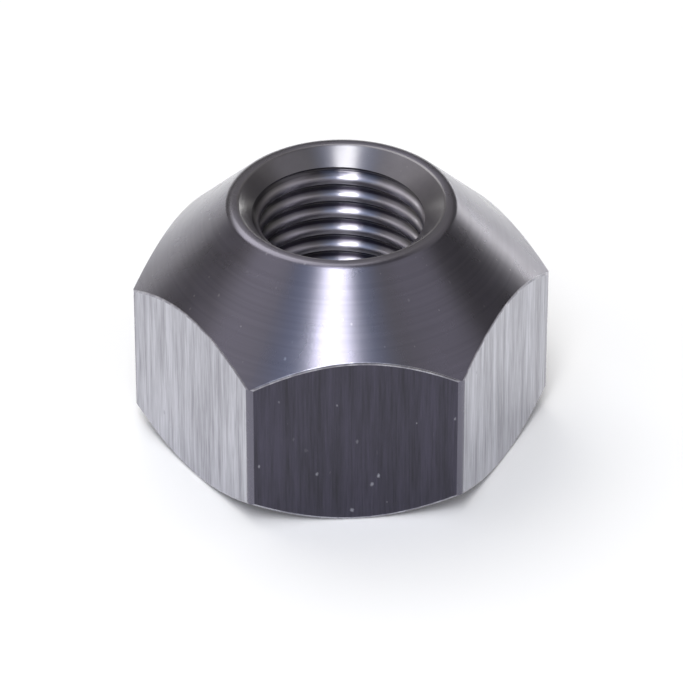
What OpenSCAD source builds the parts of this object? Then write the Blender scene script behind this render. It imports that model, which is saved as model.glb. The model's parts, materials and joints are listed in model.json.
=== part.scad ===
/* Open ended wheel nut
   Turned from a hexagonal bar: the flat end has a chamfer that cuts a curved arc into
   every flat, and the other end is a cone that seats in the wheel. The hole is tapped
   right through and countersunk at both ends. The nut stands on its flat end, with its
   seat up, and the origin is at the centre of that end. Sizes are in millimetres. */

/* [Hexagon] */
// Width of the hexagon across its flats
across_flats = 19; // [17:0.5:24]
// Length of the nut from its flat end to its small end
nut_length = 13.5; // [12:0.5:30]
// How much is skimmed off the six corners of the bar, measured from the axis
corner_skim = 0.08; // [0.02:0.02:0.3]

/* [Flat end] */
// Distance from the edge of the turned face to the flats
face_inset = 0.1; // [0.05:0.05:1]
// Angle of the chamfer, measured from the face
chamfer_angle = 40; // [20:5:45]

/* [Seat] */
// Included angle of the conical seat
seat_angle = 90; // [60:5:110]
// Diameter of the small end, over its sharp corner
tip_d = 11.8; // [11.4:0.1:15]
// Width of the break on the edge between the seat and the small end
tip_break = 0.2; // [0.05:0.05:0.3]

/* [Hole] */
// Inside diameter of the thread, across its crests
bore_d = 8.5; // [6:0.1:9]
// Included angle of both countersinks
sink_angle = 90; // [60:5:120]
// Width of the slope of the countersink in the flat end
face_sink_w = 0.9; // [0.3:0.1:2]
// Width of the rim that the countersink leaves on the small end, with its break
tip_rim_w = 0.55; // [0.4:0.05:0.9]

/* [Hidden] */
// Segments of a full circle
circle_steps = 128;
// How far a cut or a cone runs past the end that it crosses
overrun = 1;
// Radius of the bar over its sharp corners, and after the skim
sharp_corner_r = across_flats / 2 / cos(30);
corner_r = sharp_corner_r - corner_skim;
// Flat end
face_r = across_flats / 2 - face_inset;
chamfer_h = (corner_r - face_r) * tan(chamfer_angle);
// Seat
seat_slope = tan(seat_angle / 2);
tip_r = tip_d / 2;
// Hole
sink_slope = tan(sink_angle / 2);
bore_r = bore_d / 2;
face_sink_r = bore_r + face_sink_w;
face_sink_depth = face_sink_w / sink_slope;
tip_sink_r = tip_r - tip_rim_w;
tip_sink_depth = (tip_sink_r - bore_r) / sink_slope;

// The bar as drawn, with one flat towards the front
module hexagonal_bar() {
    linear_extrude(height = nut_length)
        circle(r = sharp_corner_r, $fn = 6);
}

// What the first turning leaves: the flat face, its chamfer and the skimmed corners
module turned_flat_end() {
    rotate_extrude($fn = circle_steps)
        polygon([
            [0, 0],
            [face_r, 0],
            [corner_r, chamfer_h],
            [corner_r, nut_length],
            [0, nut_length]
        ]);
}

// What the second turning leaves: the seat, the broken edge and the small end
module turned_seat() {
    rotate_extrude($fn = circle_steps)
        polygon([
            [0, -overrun],
            [tip_r + (nut_length + overrun) * seat_slope, -overrun],
            [tip_r + tip_break * sin(seat_angle / 2), nut_length - tip_break * cos(seat_angle / 2)],
            [tip_r - tip_break, nut_length],
            [0, nut_length]
        ]);
}

// The hole before tapping, with a countersink that opens through each end
module countersunk_hole() {
    rotate_extrude($fn = circle_steps)
        polygon([
            [0, -overrun],
            [face_sink_r + overrun * sink_slope, -overrun],
            [bore_r, face_sink_depth],
            [bore_r, nut_length - tip_sink_depth],
            [tip_sink_r + overrun * sink_slope, nut_length + overrun],
            [0, nut_length + overrun]
        ]);
}

module wheel_nut() {
    color("#3b3a40")
        difference() {
            intersection() {
                hexagonal_bar();
                turned_flat_end();
                turned_seat();
            }
            countersunk_hole();
        }
}

wheel_nut();
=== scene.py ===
import json
import math

import bmesh
import bpy
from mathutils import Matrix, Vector


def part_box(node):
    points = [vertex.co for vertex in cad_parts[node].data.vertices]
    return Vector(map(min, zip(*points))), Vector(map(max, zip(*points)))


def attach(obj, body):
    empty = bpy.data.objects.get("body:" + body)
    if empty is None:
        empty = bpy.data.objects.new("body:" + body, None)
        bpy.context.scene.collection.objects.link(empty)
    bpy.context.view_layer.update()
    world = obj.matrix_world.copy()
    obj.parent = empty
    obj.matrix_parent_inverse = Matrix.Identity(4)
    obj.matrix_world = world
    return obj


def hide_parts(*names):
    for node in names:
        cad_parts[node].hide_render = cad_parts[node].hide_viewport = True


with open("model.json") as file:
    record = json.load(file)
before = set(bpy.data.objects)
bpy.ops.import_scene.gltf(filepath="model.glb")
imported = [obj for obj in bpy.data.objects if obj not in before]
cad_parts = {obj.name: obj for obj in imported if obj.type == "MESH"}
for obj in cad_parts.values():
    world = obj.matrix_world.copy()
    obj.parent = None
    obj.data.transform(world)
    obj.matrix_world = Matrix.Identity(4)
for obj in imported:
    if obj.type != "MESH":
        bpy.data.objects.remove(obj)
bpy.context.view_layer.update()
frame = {"record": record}

# The nut is modelled in millimetres and brought to metres when it is finished.
MM = 0.001
low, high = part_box("wheel_nut")
thread_mount = next(m for m in frame["record"]["mounts"] if m["name"] == "thread")

# Sizes that the frame gives
ACROSS_FLATS = (high[1] - low[1]) / MM
NUT_LENGTH = (high[2] - low[2]) / MM
CORNER_R = (high[0] - low[0]) / 2 / MM
BORE_R = thread_mount["dims"]["r_mm"]

# Sizes of the same solid that the frame does not name
FACE_INSET = 0.1
FACE_R = ACROSS_FLATS / 2 - FACE_INSET
CHAMFER_ANGLE = math.radians(40)
TIP_R = 5.9
SEAT_HALF_ANGLE = math.radians(45)
SINK_HALF_ANGLE = math.radians(45)
FACE_SINK_W = 0.9
TIP_RIM_W = 0.55
TIP_SINK_R = TIP_R - TIP_RIM_W

# Widths of the breaks on the edges: round the small end, the two countersinks, the flat end
# and the flats
TIP_BREAK = 0.2
SINK_BREAK = 0.08
FACE_BREAK = 0.04
FLAT_BREAK = 0.08

# 3/8 inch UNF thread, with its roots and crests rounded as a tap leaves them
PITCH = 25.4 / 24
THREAD_ROOT_R = 9.525 / 2
THREAD_HALF_ANGLE = math.radians(30)
ROOT_FLAT = PITCH / 8
ROOT_SAG = 0.012
ROOT_ROUND_DEPTH = 0.045
CREST_ROUND = 0.28
CREST_TURNS = (60, 45, 30)

# The form of the tap runs straight on past a crest, and then reaches into the open hole, so
# that it cuts clean
TAP_RUN_ON = 0.04
TAP_OVERLAP = 0.15
TAP_RISE = 0.005
# Turns of the tap that lie outside the nut, half of them below it
TAP_SPARE_TURNS = 3

# Segments of a full turn: a multiple of six, so that all six flats come out alike
STEPS = 240

# How closely points and faces match what they are taken for: distances in mm, tilts in
# degrees, and the cosine between the ways that two faces look
RADIUS_TOLERANCE = 0.004
HEIGHT_TOLERANCE = 0.002
PLACE_TOLERANCE = 0.01
SINK_TILT_TOLERANCE = 0.5
TURNED_TILT_TOLERANCE = 0.6
SAME_WAY = 0.9999

# The clear sealed oxide is alumina, which mirrors more than a lacquer would
OXIDE_IOR = 1.7

# How much brighter the camera and glossy rays see the sheet than it is lit
SHEET_LIFT = 0.06
LAMP_WHITE = "#fffefc"


# Modelling steps

def deselect_all():
    bpy.ops.object.select_all(action="DESELECT")


def pick(piece):
    """Leaves only this piece selected, and makes it the active one."""
    deselect_all()
    piece.select_set(True)
    bpy.context.view_layer.objects.active = piece


def edit(piece):
    pick(piece)
    bpy.ops.object.mode_set(mode="EDIT")
    bpy.ops.mesh.select_mode(type="EDGE")


def done():
    bpy.ops.object.mode_set(mode="OBJECT")


def apply_modifier(piece, kind, **settings):
    modifier = piece.modifiers.new(kind.title(), kind)
    for name, value in settings.items():
        setattr(modifier, name, value)
    pick(piece)
    bpy.ops.object.modifier_apply(modifier=modifier.name)


def select_edges(piece, wanted):
    """In edit mode, leaves only the edges selected for which wanted(edge) holds."""
    mesh = bmesh.from_edit_mesh(piece.data)
    for edge in mesh.edges:
        edge.select_set(False)
    chosen = [edge for edge in mesh.edges if wanted(edge)]
    for edge in chosen:
        edge.select_set(True)
    bmesh.update_edit_mesh(piece.data)
    return len(chosen)


def turn_ring(stations):
    """Turns a closed ring from its outline: a circle at the first station, drawn out to the
    radius and height of each next one, and bridged back to the first."""
    deselect_all()
    radius, height = stations[0]
    bpy.ops.mesh.primitive_circle_add(vertices=STEPS, radius=radius, fill_type="NOTHING")
    piece = bpy.context.object
    edit(piece)
    bpy.ops.mesh.select_all(action="SELECT")
    bpy.ops.transform.translate(value=(0, 0, height))
    for next_radius, next_height in stations[1:]:
        bpy.ops.mesh.extrude_edges_move(
            TRANSFORM_OT_translate={"value": (0, 0, next_height - height)})
        grow = next_radius / radius
        bpy.ops.transform.resize(value=(grow, grow, 1), center_override=(0, 0, next_height))
        radius, height = next_radius, next_height
    select_edges(piece, lambda edge: len(edge.link_faces) == 1)
    bpy.ops.mesh.bridge_edge_loops()
    bpy.ops.mesh.select_all(action="SELECT")
    bpy.ops.mesh.normals_make_consistent(inside=False)
    done()
    return piece


def flat_normal(number):
    """The way that one of the six flats faces. One of them faces the front."""
    turn = math.radians(30 + 60 * number)
    return Vector((math.cos(turn), math.sin(turn), 0))


def mill_flats(nut):
    """Cuts the turned blank back to its six flats. Each cut closes with one flat face,
    whose ends follow the chamfer and the seat as curved arcs."""
    edit(nut)
    for number in range(6):
        outward = flat_normal(number)
        bpy.ops.mesh.select_all(action="SELECT")
        bpy.ops.mesh.bisect(
            plane_co=outward * ACROSS_FLATS / 2, plane_no=outward,
            use_fill=True, clear_outer=True, threshold=0.00001)
    done()


def ring_edge(edge, radius, height):
    """Whether both ends of an edge lie on the circle of this radius and height."""
    return all(
        abs(math.hypot(v.co.x, v.co.y) - radius) < RADIUS_TOLERANCE
        and abs(v.co.z - height) < HEIGHT_TOLERANCE
        for v in edge.verts)


def on_flat(face):
    """Whether a face is one of the six flats."""
    middle = face.calc_center_median()
    return any(
        face.normal.dot(flat_normal(number)) > SAME_WAY
        and abs(middle.dot(flat_normal(number)) - ACROSS_FLATS / 2) < PLACE_TOLERANCE
        for number in range(6))


def round_edges(nut, width, segments, wanted):
    edit(nut)
    if select_edges(nut, wanted):
        bpy.ops.mesh.bevel(
            offset=width, offset_type="OFFSET", segments=segments, profile=0.5,
            affect="EDGES", clamp_overlap=False, miter_outer="SHARP", miter_inner="SHARP")
    done()


def blank_outline():
    """The nut's outline as radius and height, from the countersink in the flat end round the
    outside to the small end and back down the hole. Each point has the name of its edge."""
    chamfer_h = (CORNER_R - FACE_R) * math.tan(CHAMFER_ANGLE)
    seat_bottom_z = NUT_LENGTH - (CORNER_R - TIP_R) / math.tan(SEAT_HALF_ANGLE)
    tip_sink_depth = (TIP_SINK_R - BORE_R) / math.tan(SINK_HALF_ANGLE)
    face_sink_depth = FACE_SINK_W / math.tan(SINK_HALF_ANGLE)
    return {
        "flat end countersink": (BORE_R + FACE_SINK_W, 0),
        "flat end": (FACE_R, 0),
        "chamfer top": (CORNER_R, chamfer_h),
        "seat bottom": (CORNER_R, seat_bottom_z),
        "small end": (TIP_R, NUT_LENGTH),
        "small end countersink": (TIP_SINK_R, NUT_LENGTH),
        "thread top": (BORE_R, NUT_LENGTH - tip_sink_depth),
        "thread bottom": (BORE_R, face_sink_depth),
    }


def turn_nut():
    """The nut before it is tapped, with its edges broken as a maker breaks them."""
    outline = blank_outline()
    nut = turn_ring(list(outline.values()))
    nut.name = "wheel_nut_body"
    mill_flats(nut)
    for rim, width, segments in (
            ("small end", TIP_BREAK, 4),
            ("small end countersink", SINK_BREAK, 3),
            ("flat end countersink", SINK_BREAK, 3),
            ("flat end", FACE_BREAK, 2)):
        round_edges(nut, width, segments, lambda edge: ring_edge(edge, *outline[rim]))
    round_edges(
        nut, FLAT_BREAK, 3, lambda edge: sum(on_flat(face) for face in edge.link_faces) == 1)
    return nut


def thread_outline():
    """One pitch of the groove, as radius and height: a rounded root, two straight flanks
    and half of the rounded crest on each side. It ends inside the hole."""
    slope = math.tan(THREAD_HALF_ANGLE)
    edge_z = ROOT_FLAT / 2 + (THREAD_ROOT_R - BORE_R) * slope
    half = [
        (THREAD_ROOT_R, 0),
        (THREAD_ROOT_R - ROOT_SAG, ROOT_FLAT * 0.35),
        (THREAD_ROOT_R - ROOT_ROUND_DEPTH, ROOT_FLAT / 2 + ROOT_ROUND_DEPTH * slope),
    ]
    for turn in CREST_TURNS:
        a = math.radians(turn)
        half.append((
            BORE_R + CREST_ROUND * (1 - math.cos(a)),
            edge_z + CREST_ROUND * (slope - math.sin(a))))
    radius, height = half[-1]
    half.append((radius - TAP_RUN_ON, height + TAP_RUN_ON / slope))
    half.append((BORE_R - TAP_OVERLAP, half[-1][1] + TAP_RISE))
    falling = [(radius, -height) for radius, height in reversed(half[1:])]
    return falling + half + [(half[-1][0], PITCH + falling[0][1])]


def cut_tap():
    """A tap of the thread's form, which runs past both ends of the nut: the outline of one
    pitch, drawn point by point, is screwed up the axis and closed at both ends."""
    deselect_all()
    outline = thread_outline()
    radius, height = outline[0]
    bpy.ops.mesh.primitive_plane_add(size=1)
    tap = bpy.context.object
    edit(tap)
    bpy.ops.mesh.select_mode(type="VERT")
    bpy.ops.mesh.select_all(action="SELECT")
    bpy.ops.mesh.merge(type="CENTER")
    bpy.ops.transform.translate(value=(radius, 0, height))
    for next_radius, next_height in outline[1:]:
        bpy.ops.mesh.extrude_vertices_move(
            TRANSFORM_OT_translate={"value": (next_radius - radius, 0, next_height - height)})
        radius, height = next_radius, next_height
    done()
    turns = math.ceil(NUT_LENGTH / PITCH) + TAP_SPARE_TURNS
    apply_modifier(
        tap, "SCREW", axis="Z", angle=math.tau, screw_offset=PITCH, iterations=turns,
        steps=STEPS, render_steps=STEPS, use_merge_vertices=False)
    edit(tap)
    bpy.ops.mesh.select_all(action="SELECT")
    bpy.ops.mesh.remove_doubles(threshold=0.0001)
    bpy.ops.mesh.select_all(action="SELECT")
    bpy.ops.transform.translate(value=(0, 0, -TAP_SPARE_TURNS / 2 * PITCH))
    # Half a step round, so that no point of the tap falls on one of the hole
    bpy.ops.transform.rotate(value=math.pi / STEPS, orient_axis="Z", center_override=(0, 0, 0))
    middle = NUT_LENGTH / 2
    for at_top, step in ((False, -PITCH), (True, PITCH)):
        select_edges(tap, lambda edge: len(edge.link_faces) == 1
                     and (edge.verts[0].co.z > middle) == at_top)
        bpy.ops.mesh.extrude_edges_move(TRANSFORM_OT_translate={"value": (0, 0, step)})
        bpy.ops.mesh.merge(type="CENTER")
    bpy.ops.mesh.select_all(action="SELECT")
    bpy.ops.mesh.normals_make_consistent(inside=False)
    done()
    return tap


def tap_hole(nut, tap):
    apply_modifier(nut, "BOOLEAN", operation="DIFFERENCE", solver="MANIFOLD", object=tap)
    bpy.data.objects.remove(tap)
    edit(nut)
    bpy.ops.mesh.select_all(action="SELECT")
    bpy.ops.mesh.remove_doubles(threshold=0.0002)
    bpy.ops.mesh.delete_loose()
    done()


def bring_to_metres(piece):
    pick(piece)
    piece.scale = (MM, MM, MM)
    bpy.ops.object.transform_apply(location=False, rotation=False, scale=True)


def smooth(piece):
    """Smooths the curved faces and keeps the edges that turn by more than 35 degrees."""
    pick(piece)
    bpy.ops.object.shade_smooth_by_angle(angle=math.radians(35))
    apply_modifier(piece, "WEIGHTED_NORMAL", mode="FACE_AREA", keep_sharp=True)


# Finishes

def linear(colour):
    """An sRGB hex colour as the linear values that a shader takes."""
    parts = [int(colour[i:i + 2], 16) / 255 for i in (1, 3, 5)]
    return [p / 12.92 if p <= 0.04045 else ((p + 0.055) / 1.055) ** 2.4 for p in parts] + [1]


def add(tree, kind, inputs=None, **settings):
    """Adds a node, with its settings, and its inputs as values or as links from sockets."""
    node = tree.nodes.new(kind)
    for name, value in settings.items():
        setattr(node, name, value)
    for name, value in (inputs or {}).items():
        if isinstance(value, bpy.types.NodeSocket):
            tree.links.new(value, node.inputs[name])
        else:
            node.inputs[name].default_value = value
    return node


def new_material(name):
    material = bpy.data.materials.new(name)
    material.use_nodes = True
    material.node_tree.nodes.clear()
    return material, material.node_tree


def painted_low_angle_reflection(tree, colour, pale):
    """Painted reflection: the colour turns from the dark one to the pale one as the surface is
    seen more edge on, from 44 to 65 degrees off square, and stands in for a slightly rough
    surface mirroring more and more of the room.
    """
    turned_away = add(tree, "ShaderNodeLayerWeight", {"Blend": 0.5}).outputs["Facing"]
    amount = add(tree, "ShaderNodeMapRange", {
        "Value": turned_away, "From Min": 0.28, "From Max": 0.58},
        interpolation_type="SMOOTHSTEP")
    mixed = add(tree, "ShaderNodeMix", {
        0: amount.outputs["Result"], 6: colour, 7: pale}, data_type="RGBA")
    return mixed.outputs[2]


def anodised(tree, colour, roughness, normal, gloss, anisotropy, turn, sealed=1.0):
    """Black anodised aluminium. The dyed oxide lets a little of the metal through, which gives
    a dark grey with a violet cast, and its sealed surface adds a thin clear gloss."""
    tangent = add(tree, "ShaderNodeTangent", direction_type="RADIAL", axis="Z")
    shader = add(tree, "ShaderNodeBsdfPrincipled", {
        "Base Color": colour,
        "Metallic": 1.0,
        "Roughness": roughness,
        "Anisotropic": anisotropy,
        "Anisotropic Rotation": turn,
        "Tangent": tangent.outputs["Tangent"],
        "Normal": normal,
        "Coat Weight": sealed,
        "Coat Roughness": gloss,
        "Coat IOR": OXIDE_IOR,
        "Coat Normal": normal,
    })
    add(tree, "ShaderNodeOutputMaterial", {"Surface": shader.outputs["BSDF"]})


def in_mm(tree, scale=(1, 1, 1), turn=(0, 0, 0), shift=(0, 0, 0)):
    """The place on the nut in millimetres, stretched, turned and shifted for a pattern."""
    place = add(tree, "ShaderNodeTexCoord").outputs["Object"]
    fitted = add(tree, "ShaderNodeMapping", {
        "Vector": place,
        "Location": shift,
        "Scale": [factor / MM for factor in scale],
        "Rotation": turn,
    })
    return fitted.outputs["Vector"]


def from_axis(tree, place):
    """The distance of a place from the axis of the nut, for rings and for the thread."""
    flat = add(tree, "ShaderNodeVectorMath", {0: place, 1: (1, 1, 0)}, operation="MULTIPLY")
    radius = add(tree, "ShaderNodeVectorMath", {0: flat.outputs["Vector"]}, operation="LENGTH")
    return radius.outputs["Value"]


def marks(tree, place, per_mm, radius, share):
    """Small soft marks in a share of the cells, each of its own strength, size and uneven
    outline, up to a radius in mm. The result is 0 outside them."""
    cells = add(tree, "ShaderNodeTexVoronoi", {"Vector": place, "Scale": per_mm})
    lot = add(tree, "ShaderNodeSeparateColor", {"Color": cells.outputs["Color"]})
    reach = add(tree, "ShaderNodeMath", {
        0: cells.outputs["Distance"], 1: lot.outputs["Green"]}, operation="DIVIDE")
    ragged = add(tree, "ShaderNodeTexNoise", {"Vector": place, "Scale": 7.0, "Detail": 1.0})
    outline = add(tree, "ShaderNodeMath", {
        0: ragged.outputs["Fac"], 1: radius * per_mm, 2: reach.outputs["Value"]},
        operation="MULTIPLY_ADD")
    inside = add(tree, "ShaderNodeMapRange", {
        "Value": outline.outputs["Value"],
        "From Min": radius * per_mm * 1.4, "From Max": radius * per_mm * 0.7})
    picked = add(tree, "ShaderNodeMath", {
        0: lot.outputs["Red"], 1: share}, operation="LESS_THAN")
    strength = add(tree, "ShaderNodeMath", {
        0: picked.outputs["Value"], 1: lot.outputs["Blue"]}, operation="MULTIPLY")
    shown = add(tree, "ShaderNodeMath", {
        0: inside.outputs["Result"], 1: strength.outputs["Value"]}, operation="MULTIPLY")
    return shown.outputs["Value"]


def with_marks(tree, colour, amount):
    """Pinholes and rubs show the bare metal below the dye as pale points."""
    mixed = add(tree, "ShaderNodeMix", {
        0: amount, 6: colour, 7: linear("#9d9da7")}, data_type="RGBA")
    return mixed.outputs[2]


def drawn_bar():
    """The flats are as the bar was drawn: fine straight lines along the axis, which spread a
    reflection sideways and break it into streaks. Real lines are about 0.02 mm wide. They are
    drawn 0.06 to 0.3 mm wide here so that they show."""
    material, tree = new_material("drawn_flats")
    fine = add(tree, "ShaderNodeTexNoise", {
        "Vector": in_mm(tree, (1, 1, 0.04)), "Scale": 8.0, "Detail": 3.0, "Roughness": 0.7})
    wide = add(tree, "ShaderNodeTexNoise", {
        "Vector": in_mm(tree, (1, 1, 0.06)), "Scale": 1.8, "Detail": 2.0, "Roughness": 0.5})
    lines = add(tree, "ShaderNodeMath", {
        0: fine.outputs["Fac"], 1: wide.outputs["Fac"]}, operation="ADD")
    shade = add(tree, "ShaderNodeMapRange", {
        "Value": lines.outputs["Value"], "From Min": 0.75, "From Max": 1.25})
    colour = add(tree, "ShaderNodeMix", {
        0: shade.outputs["Result"], 6: linear("#1b1827"), 7: linear("#383447")},
        data_type="RGBA")
    pits = marks(
        tree, in_mm(tree, (1, 1, 0.6), turn=(0.4, 0.3, 0.2), shift=(3.3, 7.1, 2.4)),
        per_mm=1.6, radius=0.14, share=0.4)
    rubs = marks(
        tree, in_mm(tree, (1, 1, 0.07), turn=(0.12, 0.07, 0)),
        per_mm=2.4, radius=0.10, share=0.8)
    faint = add(tree, "ShaderNodeMath", {0: rubs, 1: 0.7}, operation="MULTIPLY")
    pale = add(tree, "ShaderNodeMath", {
        0: pits, 1: faint.outputs["Value"]}, operation="MAXIMUM")
    rough = add(tree, "ShaderNodeMapRange", {
        "Value": wide.outputs["Fac"],
        "From Min": 0.3, "From Max": 0.7, "To Min": 0.30, "To Max": 0.44})
    bump = add(tree, "ShaderNodeBump", {
        "Height": lines.outputs["Value"], "Strength": 1.0, "Distance": 0.012 * MM})
    # The pale colour is a painted reflection of the room. It is mixed in where a flat is seen
    # at a low angle, and it follows the drawn lines.
    painted_reflection_colour = add(tree, "ShaderNodeMix", {
        0: shade.outputs["Result"], 6: linear("#86858e"), 7: linear("#c3c3cb")},
        data_type="RGBA")
    colour_with_painted_reflection = painted_low_angle_reflection(tree, colour.outputs[2], painted_reflection_colour.outputs[2])
    anodised(
        tree, with_marks(tree, colour_with_painted_reflection, pale.outputs["Value"]), rough.outputs["Result"],
        bump.outputs["Normal"], gloss=0.24, anisotropy=0.5, turn=0.0, sealed=0.55)
    return material


def turned_metal():
    """The seat, both ends, the chamfer and the skimmed corners are turned: fine rings left by
    the feed of the tool, which draw a highlight out into a streak across them. Real rings are
    about 0.1 mm apart. They are drawn 0.2 mm apart here so that they show. A few pinholes and
    faint handling scratches break the surface up."""
    material, tree = new_material("turned_ends")
    place = in_mm(tree)
    rings = add(tree, "ShaderNodeTexNoise", {
        "W": from_axis(tree, place), "Scale": 5.0, "Detail": 2.0}, noise_dimensions="1D")
    clouds = add(tree, "ShaderNodeTexNoise", {"Vector": place, "Scale": 0.5, "Detail": 3.0})
    colour = add(tree, "ShaderNodeMix", {
        0: rings.outputs["Fac"], 6: linear("#4f4c5c"), 7: linear("#5d5a6a")}, data_type="RGBA")
    pits = marks(tree, place, per_mm=1.4, radius=0.12, share=0.25)
    scratches = marks(
        tree, in_mm(tree, (1, 1, 0.06), turn=(0.9, 0.5, 0.3)),
        per_mm=2.0, radius=0.1, share=0.9)
    faint = add(tree, "ShaderNodeMath", {0: scratches, 1: 0.6}, operation="MULTIPLY")
    pale = add(tree, "ShaderNodeMath", {
        0: pits, 1: faint.outputs["Value"]}, operation="MAXIMUM")
    rough = add(tree, "ShaderNodeMapRange", {
        "Value": clouds.outputs["Fac"],
        "From Min": 0.3, "From Max": 0.7, "To Min": 0.24, "To Max": 0.34})
    bump = add(tree, "ShaderNodeBump", {
        "Height": rings.outputs["Fac"], "Strength": 1.0, "Distance": 0.0018 * MM})
    anodised(
        tree, with_marks(tree, colour.outputs[2], pale.outputs["Value"]),
        rough.outputs["Result"], bump.outputs["Normal"],
        gloss=0.25, anisotropy=0.7, turn=0.25)
    return material


def countersunk_metal():
    """The countersinks: cut by a tool with several edges, which leaves them duller and a
    little paler than the turned faces, with rings 0.1 to 0.2 mm apart. The sealed oxide on
    them is as smooth as elsewhere, and gives them a narrow streak of light."""
    material, tree = new_material("countersinks")
    place = in_mm(tree)
    rings = add(tree, "ShaderNodeTexNoise", {
        "W": from_axis(tree, place), "Scale": 6.0, "Detail": 2.0}, noise_dimensions="1D")
    clouds = add(tree, "ShaderNodeTexNoise", {"Vector": place, "Scale": 0.8, "Detail": 3.0})
    colour = add(tree, "ShaderNodeMix", {
        0: clouds.outputs["Fac"], 6: linear("#605d65"), 7: linear("#76747c")},
        data_type="RGBA")
    pits = marks(
        tree, in_mm(tree, shift=(1.3, 2.9, 0.7)), per_mm=2.0, radius=0.12, share=0.4)
    bump = add(tree, "ShaderNodeBump", {
        "Height": rings.outputs["Fac"], "Strength": 1.0, "Distance": 0.004 * MM})
    anodised(
        tree, with_marks(tree, colour.outputs[2], pits), 0.46, bump.outputs["Normal"],
        gloss=0.2, anisotropy=0.8, turn=0.25)
    return material


def cut_thread():
    """The tapped thread: the crests of the turns are burnished, so they are paler and shine.
    This fades out down the flanks, within 0.34 mm, and the grooves keep all their dye. The tap
    tears the metal a little, in a faint grain of about 0.3 mm."""
    material, tree = new_material("tapped_thread")
    place = in_mm(tree)
    grain = add(tree, "ShaderNodeTexNoise", {"Vector": place, "Scale": 3.0, "Detail": 2.0})
    groove = add(tree, "ShaderNodeMapRange", {
        "Value": from_axis(tree, place),
        "From Min": BORE_R + 0.11, "From Max": BORE_R + 0.34})
    colour = add(tree, "ShaderNodeMix", {
        0: groove.outputs["Result"], 6: linear("#aaa7b2"), 7: linear("#3a3643")},
        data_type="RGBA")
    rough = add(tree, "ShaderNodeMapRange", {
        "Value": grain.outputs["Fac"],
        "From Min": 0.3, "From Max": 0.7, "To Min": 0.28, "To Max": 0.36})
    bump = add(tree, "ShaderNodeBump", {
        "Height": grain.outputs["Fac"], "Strength": 1.0, "Distance": 0.002 * MM})
    anodised(
        tree, colour.outputs[2], rough.outputs["Result"], bump.outputs["Normal"],
        gloss=0.12, anisotropy=0.95, turn=0.25)
    return material


def rubbed_edge():
    """The broken edges: the oxide is thin there and a little rubbed, so they are paler and
    shine as thin lines. The rubbing comes and goes over about a millimetre."""
    material, tree = new_material("rubbed_edges")
    place = in_mm(tree)
    worn = add(tree, "ShaderNodeTexNoise", {
        "Vector": place, "Scale": 1.1, "Detail": 4.0, "Roughness": 0.65})
    amount = add(tree, "ShaderNodeMapRange", {
        "Value": worn.outputs["Fac"], "From Min": 0.42, "From Max": 0.68})
    colour = add(tree, "ShaderNodeMix", {
        0: amount.outputs["Result"], 6: linear("#7b7984"), 7: linear("#b5b4bd")},
        data_type="RGBA")
    rough = add(tree, "ShaderNodeMapRange", {
        "Value": worn.outputs["Fac"],
        "From Min": 0.3, "From Max": 0.7, "To Min": 0.36, "To Max": 0.24})
    bump = add(tree, "ShaderNodeBump", {
        "Height": worn.outputs["Fac"], "Strength": 1.0, "Distance": 0.006 * MM})
    anodised(
        tree, colour.outputs[2], rough.outputs["Result"], bump.outputs["Normal"],
        gloss=0.16, anisotropy=0.0, turn=0.0)
    return material


def finish_of(normal, radius):
    """The finish of a face, from the way it faces and its distance from the axis in mm. The
    break on the rim of a countersink counts with it, and the whole small end is turned."""
    tilt = math.degrees(math.asin(max(-1, min(1, normal.z))))
    sink_tilt = 90 - math.degrees(SINK_HALF_ANGLE)
    seat_tilt = 90 - math.degrees(SEAT_HALF_ANGLE)
    chamfer_tilt = math.degrees(CHAMFER_ANGLE) - 90
    if radius < TIP_SINK_R + 1.5 * SINK_BREAK:
        faces_as_sink = abs(abs(tilt) - sink_tilt) < SINK_TILT_TOLERANCE
        on_sink = faces_as_sink or radius > THREAD_ROOT_R + PLACE_TOLERANCE
        return "sink" if on_sink else "thread"
    if radius < TIP_R + TIP_BREAK and tilt > 0:
        return "turned"
    if max(normal.dot(flat_normal(number)) for number in range(6)) > SAME_WAY:
        return "drawn"
    turned_tilts = (90, seat_tilt, 0, chamfer_tilt, -90)
    on_turned = min(abs(tilt - angle) for angle in turned_tilts) < TURNED_TILT_TOLERANCE
    return "turned" if on_turned else "edge"


def paint_nut(nut):
    finishes = {
        "turned": turned_metal(),
        "sink": countersunk_metal(),
        "drawn": drawn_bar(),
        "thread": cut_thread(),
        "edge": rubbed_edge(),
    }
    nut.data.materials.clear()
    for material in finishes.values():
        nut.data.materials.append(material)
    order = list(finishes)
    for face in nut.data.polygons:
        radius = math.hypot(face.center.x, face.center.y) / MM
        face.material_index = order.index(finish_of(face.normal, radius))


# Floor, light and camera

def lay_floor():
    """A white sheet. It takes the nut's shadow, and the camera and glossy rays see it a
    little brighter than it is lit, so that it comes out white."""
    deselect_all()
    bpy.ops.mesh.primitive_plane_add(size=4)
    floor = bpy.context.object
    floor.name = "floor"
    material, tree = new_material("white_sheet")
    path = add(tree, "ShaderNodeLightPath")
    seen = add(tree, "ShaderNodeMath", {
        0: path.outputs["Is Camera Ray"], 1: path.outputs["Is Glossy Ray"]}, operation="ADD")
    seen = add(tree, "ShaderNodeMath", {
        0: seen.outputs["Value"], 1: path.outputs["Is Transmission Ray"]}, operation="ADD")
    lift = add(tree, "ShaderNodeMath", {
        0: seen.outputs["Value"], 1: SHEET_LIFT}, operation="MULTIPLY")
    sheet = add(tree, "ShaderNodeBsdfPrincipled", {
        "Base Color": linear("#f4f4f4"), "Roughness": 0.6,
        "Emission Color": linear("#ffffff"), "Emission Strength": lift.outputs["Value"]})
    add(tree, "ShaderNodeOutputMaterial", {"Surface": sheet.outputs["BSDF"]})
    floor.data.materials.append(material)


def toward(azimuth, elevation):
    """A direction from the nut. Azimuth 0 is the camera's side, and it grows to the right."""
    a, e = math.radians(azimuth), math.radians(elevation)
    return Vector((math.sin(a) * math.cos(e), -math.cos(a) * math.cos(e), math.sin(e)))


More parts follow.
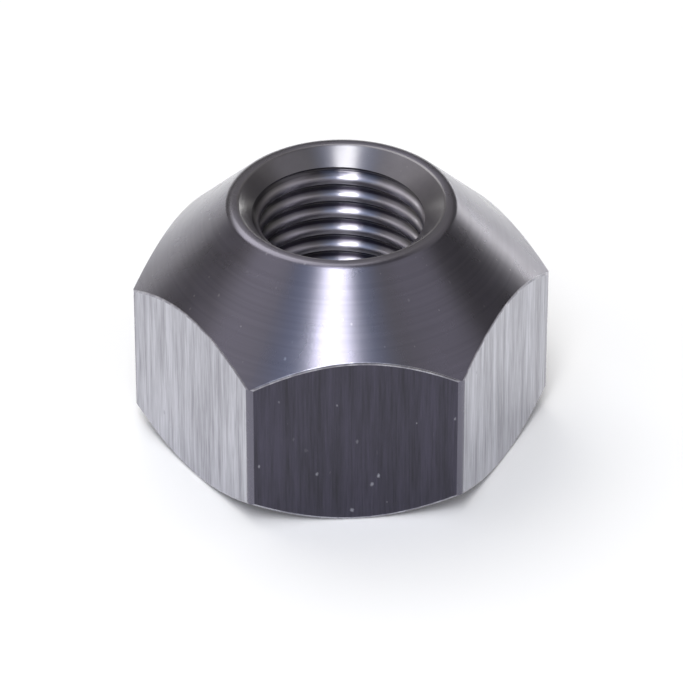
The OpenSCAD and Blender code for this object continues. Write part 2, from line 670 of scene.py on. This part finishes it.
def light_world():
    """A white room: bright at the level of the sheet and at the foot of the ceiling, with
    darker walls between and a dark opening overhead. The ceiling and the walls are paler on
    the left. Three soft patches lie over them: a blue one round the strip, and a pale one on
    each side. Heights are sines of the elevation."""
    world = bpy.data.worlds.new("studio")
    bpy.context.scene.world = world
    world.use_nodes = True
    tree = world.node_tree
    tree.nodes.clear()
    direction = add(tree, "ShaderNodeTexCoord").outputs["Generated"]
    height = add(tree, "ShaderNodeSeparateXYZ", {"Vector": direction}).outputs["Z"]
    leftward = add(tree, "ShaderNodeVectorMath", {
        0: direction, 1: toward(-80, 30)}, operation="DOT_PRODUCT").outputs["Value"]
    level = add(tree, "ShaderNodeMapRange", {
        "Value": height, "From Min": 0.22, "From Max": 0.10}, interpolation_type="SMOOTHSTEP")
    side = add(tree, "ShaderNodeMapRange", {
        "Value": leftward, "From Min": -0.5, "From Max": 0.7}, interpolation_type="SMOOTHSTEP")
    ceiling = add(tree, "ShaderNodeMix", {
        0: side.outputs["Result"], 6: linear("#a9a6a2"), 7: linear("#ddd9d4")},
        data_type="RGBA")
    above = add(tree, "ShaderNodeMapRange", {
        "Value": height, "From Min": 0.43, "From Max": 0.62}, interpolation_type="SMOOTHSTEP")
    below = add(tree, "ShaderNodeMapRange", {
        "Value": height, "From Min": 0.90, "From Max": 0.82}, interpolation_type="SMOOTHSTEP")
    band = add(tree, "ShaderNodeMath", {
        0: above.outputs["Result"], 1: below.outputs["Result"]}, operation="MULTIPLY")
    dark = add(tree, "ShaderNodeMix", {
        0: side.outputs["Result"], 6: linear("#54524f"), 7: linear("#77746f")},
        data_type="RGBA")
    walls = add(tree, "ShaderNodeMix", {
        0: band.outputs["Value"], 6: dark.outputs[2], 7: ceiling.outputs[2]},
        data_type="RGBA")
    room = add(tree, "ShaderNodeMix", {
        0: level.outputs["Result"], 6: walls.outputs[2], 7: linear("#fffdfa")},
        data_type="RGBA")
    for centre, edge, full, colour in (
            (toward(-15, 55), 0.84, 0.95, "#b9cdf1"),
            (toward(69, 42), 0.93, 0.985, "#dad7dc"),
            (toward(-81, 41), 0.94, 0.99, "#f6f3f6")):
        nearness = add(tree, "ShaderNodeVectorMath", {
            0: direction, 1: centre}, operation="DOT_PRODUCT").outputs["Value"]
        glow = add(tree, "ShaderNodeMapRange", {
            "Value": nearness, "From Min": edge, "From Max": full},
            interpolation_type="SMOOTHSTEP")
        room = add(tree, "ShaderNodeMix", {
            0: glow.outputs["Result"], 6: room.outputs[2], 7: linear(colour)},
            data_type="RGBA")
    sky = add(tree, "ShaderNodeBackground", {"Color": room.outputs[2], "Strength": 1.0})
    add(tree, "ShaderNodeOutputWorld", {"Surface": sky.outputs["Background"]})


def look_from(thing, aim, direction, distance):
    """Puts a lamp or a camera at a distance from a point, facing it, with its top upward."""
    holder = bpy.data.objects.new(thing.name, thing)
    holder.location = aim + distance * direction
    holder.rotation_euler = direction.to_track_quat("Z", "Y").to_euler()
    bpy.context.collection.objects.link(holder)
    return holder


def hang_lamp(name, direction, distance, width, length, watts):
    """A soft box that faces the nut, with its length up and down."""
    lamp = bpy.data.lights.new(name, "AREA")
    lamp.shape = "RECTANGLE"
    lamp.size = width
    lamp.size_y = length
    lamp.energy = watts
    lamp.color = linear(LAMP_WHITE)[:3]
    look_from(lamp, Vector((0, 0, NUT_LENGTH * MM / 2)), direction, distance)


def place_camera():
    """A long lens, at the photo's angle to the small end of the nut."""
    camera = bpy.data.cameras.new("camera")
    camera.lens = 300
    camera.sensor_width = 36
    camera.clip_start = 0.01
    aim = Vector((0, 0, 0.0046))
    holder = look_from(camera, aim, toward(-4.4, 35.3), distance=0.30)
    bpy.context.scene.camera = holder


# The nut
nut = turn_nut()
tap_hole(nut, cut_tap())
bring_to_metres(nut)
paint_nut(nut)
smooth(nut)
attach(nut, "root")
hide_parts("wheel_nut")

# The studio. The strip draws the streaks on the seat and the countersink, and the overhead lamp
# adds to the lights on the turns of the thread. The two windows are behind the nut, one high on
# the left and one low on the right.
lay_floor()
light_world()
hang_lamp("strip", toward(-11, 55), distance=0.6, width=0.18, length=0.27, watts=1.55)
hang_lamp("overhead", toward(-22, 77), distance=0.6, width=0.06, length=0.24, watts=0.36)
hang_lamp("window", toward(-150, 58), distance=0.8, width=0.60, length=0.60, watts=2.3)
hang_lamp("low_window", toward(145, 2.5), distance=0.8, width=0.45, length=0.06, watts=0.28)
place_camera()
bpy.context.scene.view_settings.view_transform = "Standard"
